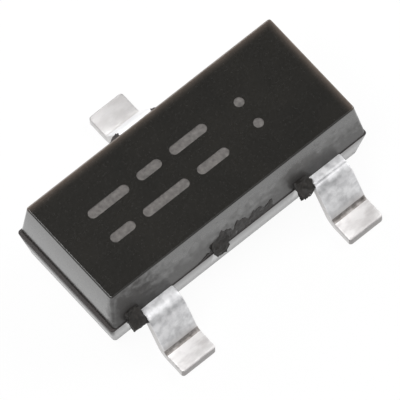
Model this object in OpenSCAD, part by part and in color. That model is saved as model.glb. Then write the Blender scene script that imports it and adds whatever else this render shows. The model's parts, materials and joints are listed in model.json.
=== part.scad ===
// Small-signal transistor in a three-lead moulded surface-mount package.
// The origin lies on the board plane under the middle of the part. +X runs along the body,
// -Y points to the side with two leads and +Z is up. All lengths are in millimetres.

/* [Body] */
// Length of the body along its parting line
body_l = 2.9; // [2.8:0.01:3.04]
// Width of the body along its parting line
body_w = 1.28; // [1.2:0.01:1.4]
// Height of the top face above the board
body_top = 0.95; // [0.89:0.01:1.11]
// Gap between the board and the underside of the body
standoff = 0.05; // [0.02:0.01:0.1]
// Height of the parting line, which is also the top of the leads
parting_z = 0.45; // [0.4:0.01:0.55]
// Draft of the upper half at the -X end, in degrees
end_draft = 4.5; // [2:0.5:8]
// Draft of the upper half on its other sides, in degrees
side_draft = 7; // [2:0.5:8]
// Draft of the lower half, in degrees
lower_draft = 10; // [4:0.5:12]
// Width of the step between the halves at the -X end
end_step = 0.032; // [0.02:0.001:0.05]
// Width of the step between the halves on the other sides
side_step = 0.01; // [0.005:0.001:0.03]
// Radius of the upright corners of the body
corner_r = 0.03; // [0.02:0.01:0.1]
// Radius of the edges round the top face and the underside
edge_r = 0.02; // [0.01:0.005:0.03]

/* [Mould flash] */
// Width of the web of flash on the -X side of each lead of the two-lead side
web_w = 0.13; // [0.08:0.01:0.2]
// Reach of that web beyond the parting line
web_reach = 0.11; // [0.06:0.01:0.16]
// Width of the smaller webs on both sides of the single lead
small_web_w = 0.05; // [0.03:0.01:0.1]
// Reach of the smaller webs beyond the parting line
small_web_reach = 0.14; // [0.06:0.01:0.16]
// Thickness of the webs, down from the top of the lead
web_t = 0.09; // [0.04:0.01:0.1]
// Place of the gate stub along the two-lead side
gate_x = -0.22; // [-0.4:0.01:0.1]
// Width of the gate stub
gate_w = 0.16; // [0.08:0.01:0.2]
// Reach of the gate stub beyond the parting line
gate_reach = 0.07; // [0.03:0.01:0.1]
// Height of the gate stub above the parting line
gate_h = 0.18; // [0.08:0.01:0.25]
// Depth of the gate stub below the parting line
gate_drop = 0.05; // [0.02:0.01:0.1]
// Length of the torn skin that runs from the gate stub towards +X
skin_l = 0.58; // [0.3:0.01:0.65]
// Height of the torn skin at the gate stub
skin_h = 0.2; // [0.1:0.01:0.25]
// Height of the torn skin at its far end
skin_end_h = 0.09; // [0.04:0.01:0.1]
// Thickness of the torn skin on the face of the upper half
skin_t = 0.02; // [0.01:0.005:0.04]

/* [Leads] */
// Distance between the middles of the two leads on one side
lead_pitch = 1.9; // [1.8:0.01:2]
// Width of each lead
lead_w = 0.38; // [0.35:0.01:0.5]
// Thickness of the lead strip
lead_t = 0.1; // [0.08:0.01:0.14]
// Distance from lead tip to lead tip across the part
lead_span = 2.4; // [2.3:0.01:2.64]
// Straight run of the lead between the body and its first bend
shoulder_l = 0.05; // [0.02:0.01:0.08]
// Inside radius of both bends
bend_r = 0.05; // [0.03:0.005:0.06]
// Flat length of the foot beyond its bend
foot_l = 0.205; // [0.15:0.005:0.25]

/* [Lead frame inside the body] */
// Cover of moulding between the sides of the body and the inner plates
side_cover = 0.15; // [0.12:0.01:0.18]
// Depth of the bond posts across the body
post_depth = 0.27; // [0.2:0.01:0.32]
// Length of a bond post from the middle of its lead towards the middle of the body
post_reach = 0.5; // [0.3:0.01:0.6]
// Length of a bond post from the edge of its lead outwards
post_lock = 0.06; // [0.02:0.01:0.1]
// Gap between the bond posts and the chip paddle
frame_gap = 0.12; // [0.08:0.01:0.16]
// Length of the chip paddle along the body
paddle_l = 1.1; // [0.8:0.01:1.6]

/* [Chip] */
// Side of the square chip
die_l = 0.4; // [0.3:0.01:0.45]
// Thickness of the chip
die_t = 0.15; // [0.1:0.01:0.18]
// Margin of adhesive that shows round the chip
attach_margin = 0.02; // [0.01:0.005:0.04]
// Thickness of the adhesive
attach_t = 0.02; // [0.01:0.005:0.03]

/* [Bond wires] */
// Diameter of a bond wire
wire_d = 0.025; // [0.018:0.001:0.03]
// Diameter of the ball on the chip
ball_d = 0.075; // [0.05:0.005:0.09]
// Height of the ball on the chip
ball_h = 0.018; // [0.012:0.001:0.025]
// Diameter of the pressed stitch on the post
stitch_d = 0.06; // [0.04:0.005:0.08]
// Thickness of the pressed stitch
stitch_t = 0.01; // [0.006:0.001:0.012]
// Upward pull of the wire at its ball, which sets the height of the loop
loop_h = 0.3; // [0.2:0.01:0.4]
// Length of the flat run-in at the stitch, as a share of the wire's span
run_in = 0.4; // [0.2:0.05:0.6]
// Distance of each pad from the middle of the chip along X
pad_x = 0.11; // [0.08:0.01:0.14]
// Distance of the stitch from the inner end of its post
stitch_inset = 0.12; // [0.06:0.01:0.2]

/* [Hidden] */

arc_steps = 6;
wire_sides = 8;
wire_rings = 14;
dot_sides = 12;

front_y = -body_w / 2;
upper_front_y = front_y + side_step;
flash_root_y = front_y + side_cover;

lead_x = lead_pitch / 2;
lead_bottom = parting_z - lead_t;

// Centres of the two bends in the lead's side view, as [distance from the middle, height]
shoulder_bend = [body_w / 2 + shoulder_l, lead_bottom - bend_r];
foot_bend = [lead_span / 2 - foot_l, lead_t + bend_r];
bend_offset = foot_bend - shoulder_bend;
bend_throw = 2 * bend_r + lead_t;
form_angle = atan2(-bend_offset.y, bend_offset.x) + asin(bend_throw / norm(bend_offset));

plate_y = body_w / 2 - side_cover;
post_inner_y = post_depth - plate_y;
paddle_front_y = post_inner_y + frame_gap;
die_y = (paddle_front_y + plate_y) / 2;
die_bottom = parting_z + attach_t;
die_top = die_bottom + die_t;

stitch_x = lead_x - post_reach + stitch_inset;
stitch_y = post_inner_y - post_depth / 2;
wire_start = [pad_x, die_y, die_top + ball_h];
wire_end = [stitch_x, stitch_y, parting_z + stitch_t + wire_d / 2];
wire_foot = [wire_start.x, wire_start.y, wire_end.z];
wire_handles = [wire_start, wire_start + [0, 0, loop_h], wire_end + run_in * (wire_foot - wire_end), wire_end];

// Points of an arc about c, from one angle to another
function arc(c, r, from, to) =
    [for (i = [0 : arc_steps]) let (a = from + (to - from) * i / arc_steps) c + r * [cos(a), sin(a)]];

// Point of the wire's curve, a cubic with four handles, and its direction there
function curve_point(h, t) =
    pow(1 - t, 3) * h[0] + 3 * pow(1 - t, 2) * t * h[1] + 3 * (1 - t) * t * t * h[2] + pow(t, 3) * h[3];
function curve_slope(h, t) =
    pow(1 - t, 2) * (h[1] - h[0]) + 2 * (1 - t) * t * (h[2] - h[1]) + t * t * (h[3] - h[2]);
function unit(v) = v / norm(v);

// Points round a rectangle with round corners, about its middle at height z
function round_rectangle(l, w, r, z) = [
    for (corner = [0 : 3])
        let (x = (corner == 0 || corner == 3 ? 1 : -1) * (l / 2 - r), y = (corner < 2 ? 1 : -1) * (w / 2 - r))
        for (p = arc([x, y], r, corner * 90, corner * 90 + 90)) [p.x, p.y, z]];

// Solid through a stack of rings that all have the same number of points
module loft(rings) {
    n = len(rings[0]);
    last = len(rings) - 1;
    sides = [for (i = [0 : last - 1]) for (k = [0 : n - 1])
             let (next = (k + 1) % n, low = i * n, high = low + n)
             [low + k, high + k, high + next, low + next]];
    caps = [[for (k = [0 : n - 1]) k], [for (k = [n - 1 : -1 : 0]) last * n + k]];
    polyhedron([for (ring = rings) each ring], concat(sides, caps));
}

// Inset of the middle of the edge's arc on a half of height h
function edge_inset(h, draft) = h * tan(draft) + edge_r * tan((90 - draft) / 2);

// Outline of the body at height z, set in by insets[0] at the -X end and by insets[1] on its other sides
function body_ring(insets, z) =
    [for (p = round_rectangle(body_l - insets[0] - insets[1], body_w - 2 * insets[1], corner_r, z))
     p + [(insets[0] - insets[1]) / 2, 0, 0]];

// One half of the body on the parting plane, with drafted walls and a round edge to its flat face.
// Its steps and drafts are pairs too: at the -X end and on the other sides.
module mould_half(h, steps, drafts) {
    edge = arc([0, h - edge_r], edge_r, max(drafts), 90);
    loft(concat([body_ring(steps, 0)],
                [for (p = edge) body_ring([for (i = [0, 1]) steps[i] + edge_inset(h, drafts[i]) - p.x], p.y)]));
}

// Web of flash on the -X side of a lead, drawn for a lead that leaves towards -Y
module flash_web(w, reach) {
    tip_y = front_y - reach;
    notch = reach / 4;
    side_x = -lead_w / 2;
    translate([0, 0, parting_z - web_t]) linear_extrude(web_t)
        polygon([[side_x, flash_root_y], [side_x - w, flash_root_y], [side_x - w, tip_y],
                 [side_x - w / 2, tip_y + notch], [side_x, tip_y + notch / 2]]);
}

// Stub of the gate on the front, which leans out from the upper half down to the parting line
module gate_stub() {
    top_z = parting_z + gate_h;
    translate([gate_x, 0, 0]) rotate([90, 0, 90]) linear_extrude(gate_w, center = true)
        polygon([[flash_root_y, parting_z - gate_drop], [front_y, parting_z - gate_drop],
                 [front_y - gate_reach, parting_z], [upper_front_y + gate_h * tan(side_draft), top_z],
                 [flash_root_y, top_z]]);
}

// Torn skin that lies on the drafted front of the upper half and thins out away from the gate stub
module torn_skin() {
    outer_y = upper_front_y - skin_t;
    depth = flash_root_y - outer_y;
    translate([gate_x, outer_y, parting_z]) rotate([90 - side_draft, 0, 0])
        translate([0, 0, -depth]) linear_extrude(depth)
            polygon([[0, 0], [skin_l, 0], [skin_l - skin_end_h / 2, skin_end_h], [0, skin_h]]);
}

module body_solid() {
    translate([0, 0, parting_z])
        mould_half(body_top - parting_z, [end_step, side_step], [end_draft, side_draft]);
    translate([0, 0, parting_z]) mirror([0, 0, 1])
        mould_half(parting_z - standoff, [0, 0], [lower_draft, lower_draft]);
    for (x = [-lead_x, lead_x]) translate([x, 0, 0]) flash_web(web_w, web_reach);
    for (side = [0, 1]) mirror([side, 0, 0]) mirror([0, 1, 0]) flash_web(small_web_w, small_web_reach);
    gate_stub();
    torn_skin();
}

// Formed strip of a lead that leaves towards +Y, from the inner plates to its tip
module lead_strip() {
    rotate([90, 0, 90]) linear_extrude(lead_w, center = true)
        polygon(concat([[plate_y, parting_z]],
                       arc(shoulder_bend, bend_r + lead_t, 90, 90 - form_angle),
                       arc(foot_bend, bend_r, 270 - form_angle, 270),
                       [[lead_span / 2, lead_t], [lead_span / 2, 0]],
                       arc(foot_bend, bend_r + lead_t, 270, 270 - form_angle),
                       arc(shoulder_bend, bend_r, 90 - form_angle, 90),
                       [[plate_y, lead_bottom]]));
}

// Plate of the lead frame between two corners
module frame_plate(from, to) {
    translate([from.x, from.y, lead_bottom]) cube([to.x - from.x, to.y - from.y, lead_t]);
}

// Lead on the two-lead side at +X, with its bond post
module post_lead() {
    translate([lead_x, 0, 0]) mirror([0, 1, 0]) lead_strip();
    frame_plate([lead_x - post_reach, -plate_y], [lead_x + lead_w / 2 + post_lock, post_inner_y]);
}

// Wire from the chip to the post at +X: a ball, a tube along its curve and a pressed stitch
module bond_wire() {
    across = unit(cross(wire_end - wire_start, [0, 0, 1]));
    loft([for (i = [0 : wire_rings])
          let (t = i / wire_rings, up = cross(across, unit(curve_slope(wire_handles, t))))
          [for (k = [0 : wire_sides - 1])
           let (a = (k + 0.5) * 360 / wire_sides)
           curve_point(wire_handles, t) + wire_d / 2 * (cos(a) * across + sin(a) * up)]]);
    translate([pad_x, die_y, die_top]) cylinder(d = ball_d, h = ball_h + wire_d / 4, $fn = dot_sides);
    translate([stitch_x, stitch_y, parting_z]) cylinder(d = stitch_d, h = stitch_t + wire_d / 4, $fn = dot_sides);
}

module mould_body() {
    color("#262420") difference() {
        body_solid();
        base_lead();
        emitter_lead();
        collector_lead();
        die_attach();
        die();
        base_bond_wire();
        emitter_bond_wire();
    }
}

module base_lead() {
    color("#d6d6d8") mirror([1, 0, 0]) post_lead();
}

module emitter_lead() {
    color("#d6d6d8") post_lead();
}

module collector_lead() {
    color("#d6d6d8") {
        lead_strip();
        frame_plate([-paddle_l / 2, paddle_front_y], [paddle_l / 2, plate_y]);
    }
}

module die_attach() {
    side = die_l + 2 * attach_margin;
    color("#b9b4a6") translate([-side / 2, die_y - side / 2, parting_z]) cube([side, side, attach_t]);
}

module die() {
    color("#5b5f68") translate([-die_l / 2, die_y - die_l / 2, die_bottom]) cube([die_l, die_l, die_t]);
}

module base_bond_wire() {
    color("#d9a441") mirror([1, 0, 0]) bond_wire();
}

module emitter_bond_wire() {
    color("#d9a441") bond_wire();
}

mould_body();
base_lead();
emitter_lead();
collector_lead();
die_attach();
die();
base_bond_wire();
emitter_bond_wire();
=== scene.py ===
import json
import math
from types import SimpleNamespace

import bmesh
import bpy
from mathutils import Matrix, Vector

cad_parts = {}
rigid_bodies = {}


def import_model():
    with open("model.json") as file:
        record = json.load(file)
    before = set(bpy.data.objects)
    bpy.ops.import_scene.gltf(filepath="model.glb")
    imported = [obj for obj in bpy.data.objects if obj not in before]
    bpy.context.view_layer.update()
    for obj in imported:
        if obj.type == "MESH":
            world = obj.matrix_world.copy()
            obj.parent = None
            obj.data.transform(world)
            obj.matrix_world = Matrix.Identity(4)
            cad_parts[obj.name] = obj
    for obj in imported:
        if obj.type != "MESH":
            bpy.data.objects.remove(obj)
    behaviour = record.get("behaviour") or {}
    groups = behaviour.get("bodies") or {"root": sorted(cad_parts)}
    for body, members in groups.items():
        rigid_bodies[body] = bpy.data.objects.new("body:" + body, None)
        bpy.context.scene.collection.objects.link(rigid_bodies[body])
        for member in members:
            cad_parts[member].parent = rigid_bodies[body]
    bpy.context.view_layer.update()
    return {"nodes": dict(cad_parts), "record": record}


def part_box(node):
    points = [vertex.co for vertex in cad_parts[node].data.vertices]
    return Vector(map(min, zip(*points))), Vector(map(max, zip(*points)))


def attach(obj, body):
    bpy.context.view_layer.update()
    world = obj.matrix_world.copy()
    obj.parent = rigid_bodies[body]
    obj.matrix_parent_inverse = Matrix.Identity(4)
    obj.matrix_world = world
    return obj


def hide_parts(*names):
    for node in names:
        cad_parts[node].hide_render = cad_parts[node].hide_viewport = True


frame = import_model()
mm = 0.001          # pieces are shaped in millimetres and brought to metres at the end
near = 0.001        # places less than this apart (mm) count as the same
facing = 0.5        # a face looks along an axis when more of its normal than this does
smoothAngle = 35    # edges flatter than this (degrees) are shaded smooth
print("frame loaded:", ", ".join(sorted(frame["nodes"])))


def nodeBox(node):  # corners of a node in millimetres
    low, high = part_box(node)
    return low / mm, high / mm


def footMiddle(mountName):  # middle of a foot's underside in millimetres
    mount = next(m for m in frame["record"]["mounts"] if m["name"] == mountName)
    return Vector(mount["pos_m"]) / mm


# handling of pieces

def startCube(name, low, high):
    bpy.ops.object.select_all(action="DESELECT")
    bpy.ops.mesh.primitive_cube_add(size=1, location=(low + high) / 2)
    piece = bpy.context.active_object
    piece.name = name
    piece.scale = high - low
    bpy.ops.object.transform_apply(location=True, rotation=False, scale=True)
    return piece


def openPiece(piece):
    bpy.ops.object.select_all(action="DESELECT")
    piece.select_set(True)
    bpy.context.view_layer.objects.active = piece
    bpy.ops.object.mode_set(mode="EDIT")


def closePiece():
    bpy.ops.object.mode_set(mode="OBJECT")


def pick(kind, rule):  # selects what passes the rule in the open piece
    bpy.ops.mesh.select_mode(type=kind)
    bpy.ops.mesh.select_all(action="DESELECT")
    mesh = bmesh.from_edit_mesh(bpy.context.edit_object.data)
    group = {"VERT": mesh.verts, "EDGE": mesh.edges, "FACE": mesh.faces}[kind]
    for part in group:
        part.select_set(rule(part))
    mesh.select_flush_mode()
    bmesh.update_edit_mesh(bpy.context.edit_object.data)


def liesAt(edge, z):
    return all(abs(vert.co.z - z) < near for vert in edge.verts)


def cutAcross(point, normal):  # cuts the whole open piece along a plane
    bpy.ops.mesh.select_all(action="SELECT")
    bpy.ops.mesh.bisect(plane_co=point, plane_no=normal)


def paintPicked(piece, finish):  # gives the picked faces of the open piece one of its finishes
    piece.active_material_index = piece.data.materials.find(finish.name)
    bpy.ops.object.material_slot_assign()


def addModifier(piece, kind, **settings):
    bpy.context.view_layer.objects.active = piece
    modifier = piece.modifiers.new(kind.lower(), kind)
    for key, value in settings.items():
        setattr(modifier, key, value)
    bpy.ops.object.modifier_apply(modifier=modifier.name)


def tell(stage, piece):  # a loose edge doesn't join exactly two faces
    mesh = bmesh.new()
    mesh.from_mesh(piece.data)
    loose = sum(len(edge.link_faces) != 2 for edge in mesh.edges)
    print(stage, len(mesh.faces), "faces,", loose, "loose edges")
    mesh.free()


def finishPiece(piece, node):
    openPiece(piece)
    bpy.ops.mesh.select_all(action="SELECT")
    bpy.ops.mesh.normals_make_consistent(inside=False)
    closePiece()
    piece.scale = (mm, mm, mm)
    bpy.ops.object.transform_apply(location=True, rotation=True, scale=True)
    bpy.ops.object.shade_smooth_by_angle(angle=math.radians(smoothAngle))
    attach(piece, "root")
    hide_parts(node)
    tell("made " + piece.name, piece)


# nodes of the finishes
noiseSpan = (0.3, 0.7)  # most of a noise lies between these


def newFinish(name):
    material = bpy.data.materials.new(name)
    material.use_nodes = True
    tree = material.node_tree
    return material, tree, tree.nodes["Principled BSDF"]


def setSockets(node, **values):  # an underscore in a key stands for a space
    for key, value in values.items():
        node.inputs[key.replace("_", " ")].default_value = value


def feed(tree, socket, value):  # value is a number, a colour or another node's output
    if isinstance(value, bpy.types.NodeSocket):
        tree.links.new(value, socket)
    else:
        socket.default_value = value


def objectPlace(tree):
    return tree.nodes.new("ShaderNodeTexCoord").outputs["Object"]


def addAxes(tree, place):
    axes = tree.nodes.new("ShaderNodeSeparateXYZ")
    tree.links.new(place, axes.inputs["Vector"])
    return axes.outputs


def addNoise(tree, place, scale, detail, harshness=0.55):  # scale is per metre
    noise = tree.nodes.new("ShaderNodeTexNoise")
    setSockets(noise, Scale=scale, Detail=detail, Roughness=harshness)
    tree.links.new(place, noise.inputs["Vector"])
    return noise.outputs["Fac"]


def addRamp(tree, source, stops):  # stops are (place, colour)
    ramp = tree.nodes.new("ShaderNodeValToRGB")
    for stop in stops[2:]:  # a ramp starts with two
        ramp.color_ramp.elements.new(stop[0])
    for element, (place, colour) in zip(ramp.color_ramp.elements, stops):
        element.position = place
        element.color = (*colour, 1)
    tree.links.new(source, ramp.inputs["Fac"])
    return ramp.outputs["Color"]


def addRange(tree, source, fromLow, fromHigh, toLow, toHigh):
    scale = tree.nodes.new("ShaderNodeMapRange")
    setSockets(scale, From_Min=fromLow, From_Max=fromHigh, To_Min=toLow, To_Max=toHigh)
    tree.links.new(source, scale.inputs["Value"])
    return scale.outputs["Result"]


def addSpread(tree, noise, low, high):
    return addRange(tree, noise, *noiseSpan, low, high)


def addFade(tree, axis, start, end, fromShare, toShare):  # between two places on an axis, in millimetres
    return addRange(tree, axis, start * mm, end * mm, fromShare, toShare)


def addMath(tree, operation, first, *others):  # works from left to right
    result = first
    for other in others:
        step = tree.nodes.new("ShaderNodeMath")
        step.operation = operation
        feed(tree, step.inputs[0], result)
        feed(tree, step.inputs[1], other)
        result = step.outputs["Value"]
    return result


def addMix(tree, share, base, cover):
    mix = tree.nodes.new("ShaderNodeMix")
    mix.data_type = "RGBA"
    colours = [socket for socket in mix.inputs if socket.type == "RGBA"]
    for socket, value in zip((mix.inputs["Factor"], *colours), (share, base, cover)):
        feed(tree, socket, value)
    return next(socket for socket in mix.outputs if socket.type == "RGBA")


def addBump(tree, shader, height, strength, distance):
    bump = tree.nodes.new("ShaderNodeBump")
    setSockets(bump, Strength=strength, Distance=distance)
    tree.links.new(height, bump.inputs["Height"])
    tree.links.new(bump.outputs["Normal"], shader.inputs["Normal"])


def speckled(name, noise, stops, rough, bump, **sockets):  # one noise gives colour, roughness and bump
    material, tree, shader = newFinish(name)
    specks = addNoise(tree, objectPlace(tree), *noise)
    tree.links.new(addRamp(tree, specks, stops), shader.inputs["Base Color"])
    tree.links.new(addSpread(tree, specks, *rough), shader.inputs["Roughness"])
    addBump(tree, shader, specks, *bump)
    setSockets(shader, **sockets)
    return material


# sizes in millimetres and degrees
lead = {  # a plate inside the body, then a strip that steps down to its foot
    "width": 0.38, "thick": 0.10, "shoulder": 0.05, "bend": 0.05, "foot": 0.205,
    "cover": 0.15,                                   # compound between the side of the body and the plate
    "bendSteps": 12, "tipRound": 0.03, "tipSteps": 4,
    "edgeRound": 0.014, "edgeSteps": 3, "edgeAngle": 50,
    "kneeNormals": (0.3, 0.995),                         # upward part of the normals of the knee's faces, which get painted shade
    "crease": 0.0052,                                # depth of the press mark across a shoulder
}
body = {
    "width": 1.28, "parting": 0.45, "lowerDraft": 10,
    "endDraft": 4.5, "endStep": 0.032,               # wall and ledge at the -X end of the upper half
    "sideDraft": 7, "sideStep": 0.010,               # wall and ledge on its other sides
    "ledgeDrop": 0.004, "ledgeRound": 0.006, "ledgeSteps": 2,
    "ledgeBand": 0.006,                              # the ledge's faces are this near the parting line
    "cornerTop": 0.025, "cornerParting": 0.03, "cornerBottom": 0.035, "cornerSteps": 8,
    "edgeRound": 0.012, "edgeSteps": 4,
    "longCuts": 58, "shortCuts": 24,                 # points on the straight stretches of a ring
    "sliver": 0.0004,                                # points nearer than this are merged after the cuts
    "evenNormal": 0.9999,                            # upward part of the normal of the top and the underside
}
bodyLow, bodyHigh = nodeBox("mould_body")
bodyFront = -body["width"] / 2
upperFront = bodyFront + body["sideStep"]  # front of the upper half at the parting line
sideSlope = math.tan(math.radians(body["sideDraft"]))

# finishes: noise (scale, detail and harshness), roughness, then strength and depth in metres of the bump
roughCompound = {"noise": (24000, 5, 0.65), "rough": (0.5, 0.75), "bump": (0.6, 3e-6), "IOR": 1.5}
cutMetal = {"noise": (30000, 4, 0.6), "rough": (0.55, 0.75), "bump": (0.5, 2e-6), "Metallic": 1.0}
kneeMetal = {"noise": (22000, 4, 0.6), "rough": (0.5, 0.7), "bump": (0.5, 2e-6), "Metallic": 1.0}
burntCompound = {"noise": (30000, 4, 0.6), "rough": (0.6, 0.85), "bump": (0.5, 2e-6)}
sealed = {"noise": (15000, 4), "bump": (0.2, 1e-6)}
torn = speckled("epoxyTorn", stops=[(0.35, (0.0085, 0.0074, 0.0062)), (0.68, (0.026, 0.0222, 0.0190))],
                **roughCompound)
scuffed = speckled("epoxyScuffed", stops=[(0.35, (0.013, 0.0112, 0.0102)), (0.68, (0.036, 0.0308, 0.0285))],
                   **roughCompound)
thinEdge = speckled("partingEdge", stops=[(0.35, (0.022, 0.0185, 0.0172)), (0.68, (0.058, 0.0490, 0.0470))],
                    **roughCompound)
punched = speckled("stampedEdge", stops=[(0.3, (0.60, 0.59, 0.585)), (0.7, (0.78, 0.77, 0.765))], **cutMetal)
# cut tips: bare sheared metal, darkened further as painted shade of the floor they reflect
shearedAndShaded = speckled("shearedTipAndShade", stops=[(0.3, (0.33, 0.32, 0.315)), (0.7, (0.48, 0.465, 0.46))], **cutMetal)
# the knee inside the lower bend: painted shade of the crease, in dark tin
kneeShade = speckled("kneePaintedShade", stops=[(0.28, (0.18, 0.165, 0.155)), (0.55, (0.38, 0.355, 0.34)),
                                   (0.78, (0.62, 0.60, 0.59))], **kneeMetal)
bleached = speckled("laserMark", stops=[(0.3, (0.07, 0.065, 0.061)), (0.7, (0.18, 0.168, 0.16))],
                    **burntCompound)
adhesive = speckled("silverAdhesive", stops=[(0.3, (0.42, 0.40, 0.36)), (0.7, (0.60, 0.57, 0.52))],
                    rough=(0.54, 0.66), Metallic=0.3, **sealed)
silicon = speckled("silicon", stops=[(0.3, (0.10, 0.11, 0.13)), (0.7, (0.17, 0.18, 0.21))],
                   rough=(0.14, 0.26), Metallic=0.4, **sealed)
gold = speckled("drawnGold", stops=[(0.3, (0.72, 0.48, 0.15)), (0.7, (0.85, 0.62, 0.25))],
                rough=(0.19, 0.31), Metallic=1.0, **sealed)

# the plating is matte tin, rubbed by the forming tool on the slopes and cleaner on the feet
plating = {
    "mottle": (13000, 3), "bands": (17000, 2, 0.5), "grain": (60000, 3),
    "bandStretch": (0.45, 1, 1),                     # the bands run across the feet
    "worn": [(0.34, (0.61, 0.61, 0.62)), (0.62, (0.87, 0.87, 0.88))],
    "clean": [(0.35, (0.65, 0.63, 0.625)), (0.6, (0.79, 0.775, 0.77))],
    "slopeFrom": (0.11, 0.19),                       # heights between which the foot's finish gives way
    "footShadeColour": (0.42, 0.41, 0.41), "footShadeFrom": (0.95, 1.02), "footShade": 0.45,   # painted shade on the collector's foot
    "slopeReflection": (0.96, 0.96, 0.97), "slopeReflectionFrom": (0.50, 0.60), "slopeReflectionShare": 0.8,        # and painted reflection on its slope
    "rough": (0.50, 0.62), "bump": (0.35, 1.2e-6),
}


def tinPlate():
    material, tree, shader = newFinish("tinPlate")
    place = objectPlace(tree)
    axes = addAxes(tree, place)
    across = tree.nodes.new("ShaderNodeMapping")
    setSockets(across, Scale=plating["bandStretch"])
    tree.links.new(place, across.inputs["Vector"])
    mottle = addNoise(tree, place, *plating["mottle"])
    bands = addNoise(tree, across.outputs["Vector"], *plating["bands"])
    grain = addNoise(tree, place, *plating["grain"])
    # painted shade darkens the collector's foot
    footShade = addFade(tree, axes["Y"], *plating["footShadeFrom"], 0, plating["footShade"])
    foot = addMix(tree, footShade, addRamp(tree, bands, plating["clean"]), (*plating["footShadeColour"], 1))
    # painted reflection whitens the collector's slope
    slopeReflection = addFade(tree, axes["Y"], *plating["slopeReflectionFrom"], 0, plating["slopeReflectionShare"])
    slope = addMix(tree, slopeReflection, addRamp(tree, mottle, plating["worn"]), (*plating["slopeReflection"], 1))
    raised = addFade(tree, axes["Z"], *plating["slopeFrom"], 0, 1)
    tree.links.new(addMix(tree, raised, foot, slope), shader.inputs["Base Color"])
    tree.links.new(addSpread(tree, mottle, *plating["rough"]), shader.inputs["Roughness"])
    addBump(tree, shader, grain, *plating["bump"])
    setSockets(shader, Metallic=1.0)
    return material


tin = tinPlate()
innerNodes = {"die_attach": adhesive, "die": silicon, "base_bond_wire": gold, "emitter_bond_wire": gold}
for node, finish in innerNodes.items():
    slots = frame["nodes"][node].data.materials
    slots.clear()
    slots.append(finish)
print("metal, torn compound and inner pieces have their finishes")


# leads

def leadForm(node, mountName):  # places along the strip, measured out from the middle of the body
    low, high = nodeBox(node)
    foot = footMiddle(mountName)
    form = SimpleNamespace(low=low, high=high, footX=foot.x)
    form.out = math.copysign(1, foot.y)  # +1 leaves towards +Y
    form.bottom = high.z - lead["thick"]  # of the part inside the body
    form.reach = max(abs(low.y), abs(high.y))
    form.plateEdge = body["width"] / 2 - lead["cover"]
    form.shoulderY = body["width"] / 2 + lead["shoulder"]  # centres of the two bends
    form.shoulderZ = form.bottom - lead["bend"]
    form.footY = form.reach - lead["foot"]
    form.footZ = lead["thick"] + lead["bend"]
    run = form.footY - form.shoulderY
    drop = form.shoulderZ - form.footZ
    throw = 2 * lead["bend"] + lead["thick"]
    form.angle = math.atan2(drop, run) + math.asin(throw / math.hypot(run, drop))
    form.slope = math.sqrt(run ** 2 + drop ** 2 - throw ** 2)
    return form


def bendStrip(name, form):
    plateInner = form.high.y if form.out < 0 else form.low.y
    lowY, highY = sorted((form.out * form.plateEdge, plateInner))
    low = Vector((form.low.x, lowY, form.bottom))
    high = Vector((form.high.x, highY, form.high.z))
    piece = startCube(name, low, high)
    openPiece(piece)
    halfWidth = lead["width"] / 2
    for edgeX in (form.footX - halfWidth, form.footX + halfWidth):
        cutAcross((edgeX, 0, 0), (1, 0, 0))
    pick("FACE", lambda face: face.normal.y * form.out > facing
         and abs(face.calc_center_median().x - form.footX) < halfWidth)

    def push(distance, angle=0.0):  # extrudes the picked end along its own direction
        move = Vector((0, form.out * math.cos(angle), -math.sin(angle))) * distance
        bpy.ops.mesh.extrude_region_move(TRANSFORM_OT_translate={"value": move})

    def turn(angle, y, z):
        bpy.ops.mesh.spin(steps=lead["bendSteps"], angle=form.out * angle,
                          center=(0, form.out * y, z), axis=(1, 0, 0))

    push(form.shoulderY - form.plateEdge)
    turn(form.angle, form.shoulderY, form.shoulderZ)
    push(form.slope / 2, form.angle)  # in two lengths, as the foot is, for a row of points half-way
    push(form.slope / 2, form.angle)
    turn(-form.angle, form.footY, form.footZ)
    push(lead["foot"] / 2)
    push(lead["foot"] / 2)
    # round the corners of the tip
    pick("EDGE", lambda edge: all(abs(abs(vert.co.y) - form.reach) < near for vert in edge.verts)
         and abs(edge.verts[0].co.x - edge.verts[1].co.x) < near)
    bpy.ops.mesh.bevel(offset=lead["tipRound"], segments=lead["tipSteps"], affect="EDGES")
    return piece


def paintStrip(piece, form, worn):
    for finish in (tin, punched, kneeShade, shearedAndShaded):
        piece.data.materials.append(finish)
    pick("FACE", lambda face: abs(face.normal.x) > facing)
    paintPicked(piece, punched)
    # cut tips: sheared metal with painted shade
    pick("FACE", lambda face: face.normal.y * form.out > facing
         and abs(face.calc_center_median().y) > form.footY)
    paintPicked(piece, shearedAndShaded)
    if worn:  # inside of the lower bend, which gets painted shade
        leastUp, mostUp = lead["kneeNormals"]
        kneeTop = form.footZ - lead["bend"] * math.cos(form.angle)
        pick("FACE", lambda face: leastUp < face.normal.z < mostUp
             and form.footY - lead["bend"] < abs(face.calc_center_median().y) < form.footY
             and face.calc_center_median().z < kneeTop)
        paintPicked(piece, kneeShade)


def creaseShoulder(form):  # presses down one row of points on the upper bend
    stepAngle = 2 * form.angle / lead["bendSteps"]
    creaseY = form.shoulderY + (lead["bend"] + lead["thick"]) * math.sin(stepAngle)
    halfUp = form.bottom + lead["thick"] / 2
    pick("VERT", lambda vert: abs(abs(vert.co.y) - creaseY) < near and vert.co.z > halfUp)
    bpy.ops.transform.translate(value=(0, 0, -lead["crease"]))


# worn: the inside of the lower bend gets painted shade
def makeLead(name, node, mountName, worn, creased):
    form = leadForm(node, mountName)
    piece = bendStrip(name, form)
    paintStrip(piece, form, worn)
    if creased:
        creaseShoulder(form)
    closePiece()
    addModifier(piece, "BEVEL", width=lead["edgeRound"], segments=lead["edgeSteps"], limit_method="ANGLE",
                angle_limit=math.radians(lead["edgeAngle"]), use_clamp_overlap=True)
    return piece


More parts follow.
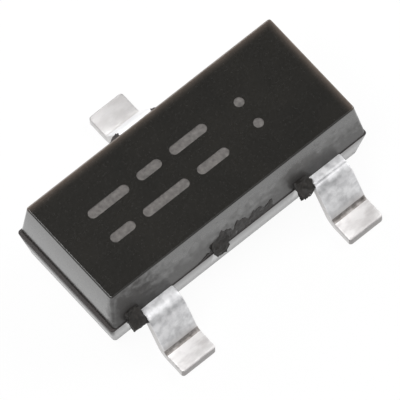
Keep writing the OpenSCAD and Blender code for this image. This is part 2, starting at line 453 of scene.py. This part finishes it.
strips = {  # by the node that each replaces
    "base_lead": makeLead("baseLeadStrip", "base_lead", "base_foot", True, False),
    "emitter_lead": makeLead("emitterLeadStrip", "emitter_lead", "emitter_foot", True, True),
    "collector_lead": makeLead("collectorLeadStrip", "collector_lead", "collector_foot", False, False),
}
print("leads bent")

# flash, gate and film: compound that squeezed out or broke off, rough where it tore
tear = {
    "shake": 0.014, "outward": 0.3,                  # random moves of the points, and their part straight out
    "lumps": [(0.060, 0.030), (0.018, 0.010)],       # size and height of the lumps, coarse and fine
    "fineness": 3, "voxel": 0.007,                   # subdivisions under the lumps, and the final grid
}
web = {
    "thick": 0.06,
    "grip": 0.012,                                   # overlap with the lead, which is cut out again
    "undercut": 1 / 3,                               # its underside is shorter by this share of the reach
}
webs = {  # side is -1 on the -X side of the lead, rise is up the wall, notch is beside the lead
    "baseWeb": {"mountName": "base_foot", "side": -1, "width": 0.147, "reach": 0.120,
                "rise": 0.13, "notch": -0.03, "finish": torn, "seed": 1},
    "emitterWeb": {"mountName": "emitter_foot", "side": -1, "width": 0.145, "reach": 0.155,
                   "rise": 0.09, "notch": 0.055, "finish": torn, "seed": 2},
    "collectorFinLeft": {"mountName": "collector_foot", "side": -1, "width": 0.13, "reach": 0.12,
                         "rise": 0.02, "notch": -0.04, "finish": thinEdge, "seed": 3},
    "collectorFinRight": {"mountName": "collector_foot", "side": 1, "width": 0.07, "reach": 0.12,
                          "rise": 0.02, "notch": -0.04, "finish": thinEdge, "seed": 6},
}
gate = {
    "x": -0.22, "width": 0.19, "reach": 0.045, "rise": 0.18, "drop": 0.06,
    "narrow": 0.45,                                  # width underneath, as a share
    "seed": 11,
}
film = {
    "left": -0.50, "right": 0.39, "thick": 0.006, "step": 0.03,
    "rise": 0.27, "endRise": 0.155,                  # at the gate and at the right
    "wedge": 0.35,                                   # share of the rise on the left of the gate
    "lobes": [(0.17, 34, 0.6), (0.11, 71, 2.1)],     # share of the rise, waves (radians per mm) and start
    "lobeMiddle": 0.72, "shakeShare": 0.25, "lumpShare": 0.35, "seed": 5,
}


def roughen(piece, finish, seed, shakeShare=1.0, lumpShare=1.0):  # the piece is open
    bpy.ops.mesh.select_all(action="SELECT")
    bpy.ops.mesh.subdivide(number_cuts=1)
    bpy.ops.transform.vertex_random(offset=shakeShare * tear["shake"], uniform=1,
                                    normal=tear["outward"], seed=seed)
    closePiece()
    addModifier(piece, "SUBSURF", subdivision_type="SIMPLE", levels=tear["fineness"],
                render_levels=tear["fineness"])
    for size, height in tear["lumps"]:
        clouds = bpy.data.textures.new(piece.name + "Lumps", "CLOUDS")
        clouds.noise_scale = size
        clouds.noise_type = "HARD_NOISE"
        addModifier(piece, "DISPLACE", texture=clouds, texture_coords="LOCAL",
                    strength=lumpShare * height, mid_level=0.5)
    addModifier(piece, "REMESH", mode="VOXEL", voxel_size=tear["voxel"])  # takes out folds before the union
    piece.data.materials.append(finish)


def makeWeb(name, mountName, side, width, reach, rise, notch, finish, seed):
    foot = footMiddle(mountName)
    out = math.copysign(1, foot.y)
    wall = body["width"] / 2
    top = body["parting"]
    bottom = top - web["thick"]
    leadEdge = foot.x + side * lead["width"] / 2
    outer = leadEdge + side * width
    xs = sorted((outer, leadEdge - side * web["grip"]))
    ys = sorted((out * (wall - lead["cover"] / 2), out * (wall + reach)))
    piece = startCube(name, Vector((xs[0], ys[0], bottom)), Vector((xs[1], ys[1], top)))
    openPiece(piece)
    cutAcross((0, out * wall, 0), (0, 1, 0))
    pick("VERT", lambda vert: vert.co.y * out < wall + near and vert.co.z > top - near)
    bpy.ops.transform.translate(value=(0, 0, rise))  # climbs the wall
    pick("VERT", lambda vert: vert.co.y * out > wall + near and abs(vert.co.x - outer) > near)
    bpy.ops.transform.translate(value=(0, -out * notch, 0))
    pick("VERT", lambda vert: vert.co.y * out > wall + near and vert.co.z < bottom + near)
    bpy.ops.transform.translate(value=(0, -out * reach * web["undercut"], 0))
    roughen(piece, finish, seed)
    return piece


def makeGate():
    parting = body["parting"]
    halfWidth = gate["width"] / 2
    low = Vector((gate["x"] - halfWidth, bodyFront - gate["reach"], parting - gate["drop"]))
    high = Vector((gate["x"] + halfWidth, bodyFront + lead["cover"], parting + gate["rise"]))
    piece = startCube("gateStub", low, high)
    openPiece(piece)
    cutAcross((0, 0, parting), (0, 0, 1))
    pick("VERT", lambda vert: vert.co.y < bodyFront and vert.co.z > parting + near)
    leanBack = upperFront + sideSlope * gate["rise"] - low.y
    bpy.ops.transform.translate(value=(0, leanBack, 0))  # on to the wall of the upper half
    pick("VERT", lambda vert: vert.co.z < parting - near)
    bpy.ops.transform.resize(value=(gate["narrow"], 1, 1), center_override=(gate["x"], 0, 0))
    roughen(piece, torn, gate["seed"])
    return piece


def filmHeight(x):  # lobes that shrink away from the gate, and a thin wedge on its other side
    if x < gate["x"]:
        return film["wedge"] * film["rise"] * (x - film["left"]) / (gate["x"] - film["left"])
    far = (x - gate["x"]) / (film["right"] - gate["x"])
    lobe = film["lobeMiddle"]
    for share, waves, start in film["lobes"]:
        lobe += share * math.sin(waves * x + start)
    return lobe * (film["rise"] + (film["endRise"] - film["rise"]) * far)


def makeFilm():  # on the front wall over the parting line
    parting = body["parting"]
    length = film["right"] - film["left"]
    low = Vector((film["left"], upperFront - film["thick"], parting - body["ledgeDrop"]))
    high = Vector((film["right"], bodyFront + lead["cover"], parting + film["rise"]))
    piece = startCube("tornSkin", low, high)
    openPiece(piece)
    columns = round(length / film["step"])
    places = [film["left"] + length * i / columns for i in range(columns + 1)]
    for x in places[1:-1]:
        cutAcross((x, 0, 0), (1, 0, 0))
    for x in places:
        height = filmHeight(x)
        pick("VERT", lambda vert: abs(vert.co.x - x) < near and vert.co.z > parting)
        bpy.ops.transform.translate(value=(0, 0, height - film["rise"]))
        pick("VERT", lambda vert: abs(vert.co.x - x) < near and vert.co.z > parting
             and vert.co.y < upperFront)
        bpy.ops.transform.translate(value=(0, sideSlope * height, 0))  # lies on the wall
    roughen(piece, scuffed, film["seed"], film["shakeShare"], film["lumpShare"])
    return piece


# the body's gloss, lost near the flash in a smear with painted shade and dark reflection, and painted sheen
# in lighter brown along two rims of the top
gloss = {
    "cloud": (2600, 4), "grain": (42000, 2), "crumb": (16000, 4, 0.6),
    "plain": [(0.3, (0.0060, 0.0053, 0.0036)), (0.7, (0.0104, 0.0091, 0.0066))],
    # matte brown of the smear and painted shade, and lighter brown of the painted sheen on the rims
    "smearAndShadeColour": (0.016, 0.0132, 0.0115), "rimSheen": (0.250, 0.195, 0.160),
    "rough": (0.21, 0.28), "dullRough": 0.45, "bump": (0.03, 0.4e-6),
    "ragged": 0.3, "patchCore": 0.4, "patchDepth": 0.12,   # edges, full part and half depth of a patch
    "besideLead": 0.06,                              # from a lead's -X edge to the patch on its web
    "upperFrom": (0.006, 0.002),                     # below the parting line
    "patchesEnd": (0.025, 0.012),                    # below the top
    "lowerFrom": (0.09, 0.19), "lowerDull": (0.40, 0.14),  # above the underside: painted shade, stronger towards the underside
    "ledgeShade": (0.008, 0.06), "ledgeDull": 0.75,  # in from the -X end: painted shade below the wide ledge
    "roundFrom": (0.014, 0.011), "roundEnd": (0.001, 0.0002), "roundDull": 0.95,   # below the top
    "rim": (0.18, 0.06), "rimPower": 3, "rimFrom": (0.014, 0.004),   # in from the sides, and below the top
    "rimClouds": (0.25, 0.75, 0.6, 1),               # span of the cloud and what is left of the painted sheen
}
webMiddles = [footMiddle(name).x - lead["width"] / 2 - gloss["besideLead"]
              for name in ("base_foot", "emitter_foot")]
dullPatches = [(x, 0.50, 0.20, 0.22, 0.9) for x in webMiddles]  # x, z, half sizes and strength; beside the webs, partly a smear of flash and partly painted dark reflection of the leads
dullPatches += [
    (-1.20, 0.62, 0.50, 0.80, 0.8),                  # painted dark reflection over the base web and lead
    (gate["x"], 0.52, 0.17, 0.20, 0.9),              # round the gate
    (0.10, 0.50, 0.42, 0.16, 0.8),                   # along the film
    (0, body["parting"], 9, 0.42, 0.6),              # painted shade along the whole parting line, strongest at the line
]


def addPatch(tree, place, ragged, x, z, halfWidth, halfHeight, strength):  # on the front wall
    about = tree.nodes.new("ShaderNodeMapping")
    about.vector_type = "TEXTURE"
    setSockets(about, Location=Vector((x, upperFront, z)) * mm,
               Scale=Vector((halfWidth, gloss["patchDepth"], halfHeight)) * mm)
    tree.links.new(place, about.inputs["Vector"])
    far = tree.nodes.new("ShaderNodeVectorMath")
    far.operation = "LENGTH"
    tree.links.new(about.outputs["Vector"], far.inputs[0])
    distance = addMath(tree, "ADD", far.outputs["Value"], ragged)
    return addRange(tree, distance, 1, gloss["patchCore"], 0, strength)


def addBelow(tree, axis, level, depths, fromShare, toShare):  # fades between two depths below a level
    return addFade(tree, axis, level - depths[0], level - depths[1], fromShare, toShare)


def addAbove(tree, axis, level, heights, fromShare, toShare):
    return addFade(tree, axis, level + heights[0], level + heights[1], fromShare, toShare)


def addSmearAndShade(tree, place, axes, crumb):  # patches on the upper half, partly a smear round the flash and partly painted shade and dark reflection, and painted shade on the lower half
    ragged = addSpread(tree, crumb, -gloss["ragged"], gloss["ragged"])
    patches = addMath(tree, "MAXIMUM", *(addPatch(tree, place, ragged, *patch) for patch in dullPatches))
    upper = addBelow(tree, axes["Z"], body["parting"], gloss["upperFrom"], 0, 1)
    patchesEnd = addBelow(tree, axes["Z"], bodyHigh.z, gloss["patchesEnd"], 1, 0)
    lower = addMath(tree, "SUBTRACT", 1, upper)
    lowerDull = addAbove(tree, axes["Z"], bodyLow.z, gloss["lowerFrom"], *gloss["lowerDull"])
    ledgeDull = addAbove(tree, axes["X"], bodyLow.x, gloss["ledgeShade"], gloss["ledgeDull"], 0)
    return addMath(tree, "MAXIMUM", addMath(tree, "MULTIPLY", patches, upper, patchesEnd),
                   addMath(tree, "MULTIPLY", lower, addMath(tree, "MAXIMUM", lowerDull, ledgeDull)))


def addRimSheen(tree, axes, cloud):  # painted sheen along the +X and +Y rims of the top
    rim = addMath(tree, "MAXIMUM", addBelow(tree, axes["X"], bodyHigh.x, gloss["rim"], 0, 1),
                  addBelow(tree, axes["Y"], -bodyFront, gloss["rim"], 0, 1))
    return addMath(tree, "MULTIPLY", addMath(tree, "POWER", rim, gloss["rimPower"]),
                   addRange(tree, cloud, *gloss["rimClouds"]),
                   addBelow(tree, axes["Z"], bodyHigh.z, gloss["rimFrom"], 0, 1))


def epoxySkin():
    material, tree, shader = newFinish("epoxySkin")
    place = objectPlace(tree)
    axes = addAxes(tree, place)
    cloud = addNoise(tree, place, *gloss["cloud"])
    grain = addNoise(tree, place, *gloss["grain"])
    # smear round the flash, with painted shade and dark reflection on the walls
    smearAndShade = addSmearAndShade(tree, place, axes, addNoise(tree, place, *gloss["crumb"]))
    rounding = addMath(tree, "MULTIPLY",
                       addBelow(tree, axes["Z"], bodyHigh.z, gloss["roundFrom"], 0, gloss["roundDull"]),
                       addBelow(tree, axes["Z"], bodyHigh.z, gloss["roundEnd"], 1, 0))
    dull = addMath(tree, "MAXIMUM", smearAndShade, rounding)
    plain = addRamp(tree, cloud, gloss["plain"])
    # base colour with painted sheen along two rims of the top
    worn = addMix(tree, addRimSheen(tree, axes, cloud), plain, (*gloss["rimSheen"], 1))
    rough = addMath(tree, "ADD", addSpread(tree, grain, *gloss["rough"]),
                    addMath(tree, "MULTIPLY", dull, gloss["dullRough"]))
    tree.links.new(addMix(tree, smearAndShade, worn, (*gloss["smearAndShadeColour"], 1)), shader.inputs["Base Color"])
    tree.links.new(rough, shader.inputs["Roughness"])
    tree.links.new(addMath(tree, "SUBTRACT", 1, dull), shader.inputs["Coat Weight"])
    addBump(tree, shader, grain, *gloss["bump"])
    setSockets(shader, IOR=1.6, Coat_Roughness=0.18, Coat_IOR=1.65)
    return material


# body: rings from the underside to the top, bridged into one shell

def addRing(z, endInset, sideInset, corner):  # insets from the parting line, at the -X end and elsewhere
    size = (bodyHigh.x - bodyLow.x - endInset - sideInset, body["width"] - 2 * sideInset)
    middle = ((endInset - sideInset) / 2, 0, z)
    bpy.ops.mesh.primitive_plane_add(size=1, location=middle)
    bpy.ops.transform.resize(value=(size[0], size[1], 1), center_override=middle)
    bpy.ops.mesh.bevel(offset=corner, segments=body["cornerSteps"], affect="VERTICES")
    bpy.ops.mesh.delete(type="ONLY_FACE")
    for cuts, along in ((body["longCuts"], 0), (body["shortCuts"], 1)):
        pick("EDGE", lambda edge: liesAt(edge, z)
             and abs(edge.verts[0].co[along] - edge.verts[1].co[along]) > size[along] / 2)
        bpy.ops.mesh.subdivide(number_cuts=cuts)


def makeBody():
    parting = body["parting"]
    lowerInset = (parting - bodyLow.z) * math.tan(math.radians(body["lowerDraft"]))
    endInset = body["endStep"] + (bodyHigh.z - parting) * math.tan(math.radians(body["endDraft"]))
    sideInset = body["sideStep"] + (bodyHigh.z - parting) * sideSlope
    rings = [
        (bodyLow.z, lowerInset, lowerInset, body["cornerBottom"]),
        (parting - body["ledgeDrop"], 0, 0, body["cornerParting"]),
        (parting, body["endStep"], body["sideStep"], body["cornerParting"]),
        (bodyHigh.z, endInset, sideInset, body["cornerTop"]),
    ]
    heights = [ring[0] for ring in rings]
    underside, ledge, _, top = heights
    bpy.ops.object.select_all(action="DESELECT")
    bpy.ops.mesh.primitive_plane_add(size=1)
    piece = bpy.context.active_object
    piece.name = "mouldShell"
    openPiece(piece)
    bpy.ops.mesh.select_all(action="SELECT")
    bpy.ops.mesh.delete(type="VERT")
    for ring in rings:
        addRing(*ring)
    for below, above in zip(heights, heights[1:]):
        pick("EDGE", lambda edge: liesAt(edge, below) or liesAt(edge, above))
        bpy.ops.mesh.bridge_edge_loops()
    for z in (underside, top):
        pick("EDGE", lambda edge: liesAt(edge, z))
        bpy.ops.mesh.edge_face_add()
    bpy.ops.mesh.select_all(action="SELECT")
    bpy.ops.mesh.normals_make_consistent(inside=False)
    for z in (underside, top):
        pick("EDGE", lambda edge: liesAt(edge, z))
        bpy.ops.mesh.bevel(offset=body["edgeRound"], segments=body["edgeSteps"], affect="EDGES")
    pick("EDGE", lambda edge: liesAt(edge, ledge))
    bpy.ops.mesh.bevel(offset=body["ledgeRound"], segments=body["ledgeSteps"], affect="EDGES")
    piece.data.materials.append(epoxySkin())
    piece.data.materials.append(thinEdge)
    pick("FACE", lambda face: abs(face.calc_center_median().z - parting) < body["ledgeBand"]
         and face.normal.z > facing)
    paintPicked(piece, thinEdge)
    closePiece()
    return piece


shell = makeBody()
tell("shell", shell)
tears = [makeWeb(name, **form) for name, form in webs.items()] + [makeGate(), makeFilm()]
for part in tears:
    addModifier(shell, "BOOLEAN", operation="UNION", object=part, solver="MANIFOLD", material_mode="TRANSFER")
    tell("joined " + part.name, shell)
    bpy.data.objects.remove(part)
for strip in strips.values():  # the compound has the form of the leads inside
    addModifier(shell, "BOOLEAN", operation="DIFFERENCE", object=strip, solver="MANIFOLD",
                material_mode="INDEX")
    tell("pocket of " + strip.name, shell)

# marks: shallow dashes and dots that a laser has bleached into the top
marks = {
    "stroke": 0.095, "depth": 0.006, "left": -1.02, "gap": 0.11,
    "endRound": 0.49, "endSteps": 8,                 # share of the stroke, nearly half
    "rows": {0.15: (0.44, 0.26, 0.40), -0.15: (0.26, 0.50, 0.34)},   # place across: lengths of the dashes
    "dots": [(0.66, 0.13), (0.66, -0.13)],
}


def cutMark(x, y, length):
    middle = Vector((x, y, bodyHigh.z))
    half = Vector((length / 2, marks["stroke"] / 2, marks["depth"]))
    cutter = startCube("markCutter", middle - half, middle + half)
    openPiece(cutter)
    pick("EDGE", lambda edge: abs(edge.verts[0].co.z - edge.verts[1].co.z) > marks["depth"])
    bpy.ops.mesh.bevel(offset=marks["endRound"] * marks["stroke"], segments=marks["endSteps"], affect="EDGES")
    closePiece()
    cutter.data.materials.append(bleached)
    addModifier(shell, "BOOLEAN", operation="DIFFERENCE", object=cutter, solver="MANIFOLD",
                material_mode="TRANSFER")
    bpy.data.objects.remove(cutter)


for y, lengths in marks["rows"].items():
    x = marks["left"]
    for length in lengths:
        cutMark(x + length / 2, y, length)
        x += length + marks["gap"]
for dot in marks["dots"]:
    cutMark(*dot, marks["stroke"])
tell("marked", shell)


def cleanShell():
    openPiece(shell)
    pick("VERT", lambda vert: vert.co.z > bodyHigh.z - near)
    bpy.ops.mesh.select_linked()
    bpy.ops.mesh.select_all(action="INVERT")
    bpy.ops.mesh.delete(type="VERT")  # crumbs that hang free
    bpy.ops.mesh.select_all(action="SELECT")
    bpy.ops.mesh.remove_doubles(threshold=body["sliver"])  # closes slivers that the cuts have left
    pick("EDGE", lambda edge: len({face.material_index for face in edge.link_faces}) > 1)
    bpy.ops.mesh.mark_sharp()  # finishes meet in a crisp line
    closePiece()


def shadeShell():
    openPiece(shell)
    pick("FACE", lambda face: abs(face.normal.z) > body["evenNormal"])
    bpy.ops.mesh.faces_shade_flat()  # the top and the underside are even
    closePiece()
    addModifier(shell, "WEIGHTED_NORMAL", keep_sharp=True, weight=100, thresh=0)  # large faces lead


cleanShell()
for node, strip in strips.items():
    finishPiece(strip, node)
finishPiece(shell, "mould_body")
shadeShell()

# camera: a long lens, so that lines stay parallel as in the picture
shot = {
    "azimuth": -36.25, "elevation": 65.17, "roll": -4.45,   # degrees
    "imageSide": 400, "pixelsPerMm": 115.57,                # the picture is square
    "lens": 1300, "sensor": 36, "clip": (0.01, 10),
    "anchor": (0, 0, 0.5), "anchorPixel": (192.2, 179.8),   # a point of the body and where it shows
}


def makeCamera():
    azimuth, elevation, roll = (math.radians(shot[key]) for key in ("azimuth", "elevation", "roll"))
    back = Vector((math.sin(azimuth) * math.cos(elevation), -math.cos(azimuth) * math.cos(elevation),
                   math.sin(elevation)))
    level = Vector((math.cos(azimuth), math.sin(azimuth), 0))
    upright = back.cross(level)
    right = level * math.cos(roll) + upright * math.sin(roll)
    up = upright * math.cos(roll) - level * math.sin(roll)
    offset = [shot["imageSide"] / 2 - pixel for pixel in shot["anchorPixel"]]
    aim = Vector(shot["anchor"]) + (right * offset[0] - up * offset[1]) / shot["pixelsPerMm"]
    distance = shot["lens"] / shot["sensor"] * shot["imageSide"] / shot["pixelsPerMm"]
    data = bpy.data.cameras.new("camera")
    data.lens = shot["lens"]
    data.sensor_width = shot["sensor"]
    data.clip_start, data.clip_end = shot["clip"]
    camera = bpy.data.objects.new("camera", data)
    bpy.context.scene.collection.objects.link(camera)
    turn = Matrix((right, up, back)).transposed().to_4x4()
    camera.matrix_world = Matrix.Translation((aim + back * distance) * mm) @ turn
    bpy.context.scene.camera = camera


# floor and light
floorLook = {"size": 4, "white": 0.9, "seenGlow": 0.95, "mirroredGlow": 0.92}
lamps = {  # direction from the part, distance and size in metres, and radiance
    "leftSoftbox": ((-0.35, 0.05, 0.935), 0.12, 0.075, 6.0),
    "backSoftbox": ((0.05, 0.85, 0.52), 0.12, 0.075, 3.0),
    "rightSoftbox": ((0.75, -0.10, 0.65), 0.12, 0.075, 4.5),
}
sky = [(0.02, 1.0), (0.30, 0.07)]  # height above the horizon and brightness


def makeFloor():
    bpy.ops.object.select_all(action="DESELECT")
    bpy.ops.mesh.primitive_plane_add(size=floorLook["size"])
    floor = bpy.context.active_object
    floor.name = "floor"
    material, tree, shader = newFinish("paleFloor")
    tree.nodes.remove(shader)
    matte = tree.nodes.new("ShaderNodeBsdfDiffuse")
    setSockets(matte, Color=(floorLook["white"],) * 3 + (1,))
    glow = tree.nodes.new("ShaderNodeEmission")
    rays = tree.nodes.new("ShaderNodeLightPath").outputs
    seen = addMath(tree, "MULTIPLY", rays["Is Camera Ray"], floorLook["seenGlow"])
    mirrored = addMath(tree, "MAXIMUM", rays["Is Glossy Ray"], rays["Is Transmission Ray"])
    share = addMath(tree, "ADD", seen, addMath(tree, "MULTIPLY", mirrored, floorLook["mirroredGlow"]))
    mix = tree.nodes.new("ShaderNodeMixShader")
    for socket, source in zip(mix.inputs, (share, matte.outputs["BSDF"], glow.outputs["Emission"])):
        tree.links.new(source, socket)
    tree.links.new(mix.outputs["Shader"], tree.nodes["Material Output"].inputs["Surface"])
    material.cycles.emission_sampling = "NONE"  # the glow is only seen, it lights nothing
    floor.data.materials.append(material)


def makeLamp(name, direction, distance, size, radiance):
    data = bpy.data.lights.new(name, "AREA")
    data.shape = "SQUARE"
    data.size = size
    data.energy = radiance * math.pi * size ** 2
    lamp = bpy.data.objects.new(name, data)
    bpy.context.scene.collection.objects.link(lamp)
    aim = Vector(direction).normalized()
    lamp.location = aim * distance
    lamp.rotation_mode = "QUATERNION"
    lamp.rotation_quaternion = aim.to_track_quat("Z", "Y")


def makeSky():
    world = bpy.data.worlds.new("studio")
    bpy.context.scene.world = world
    world.use_nodes = True
    tree = world.node_tree
    height = addAxes(tree, tree.nodes.new("ShaderNodeTexCoord").outputs["Generated"])["Z"]
    shade = addRamp(tree, height, [(place, (bright,) * 3) for place, bright in sky])
    tree.links.new(shade, tree.nodes["Background"].inputs["Color"])


makeCamera()
makeFloor()
for name, form in lamps.items():
    makeLamp(name, *form)
makeSky()
bpy.context.scene.view_settings.view_transform = "Standard"
print("camera, floor and light ready")
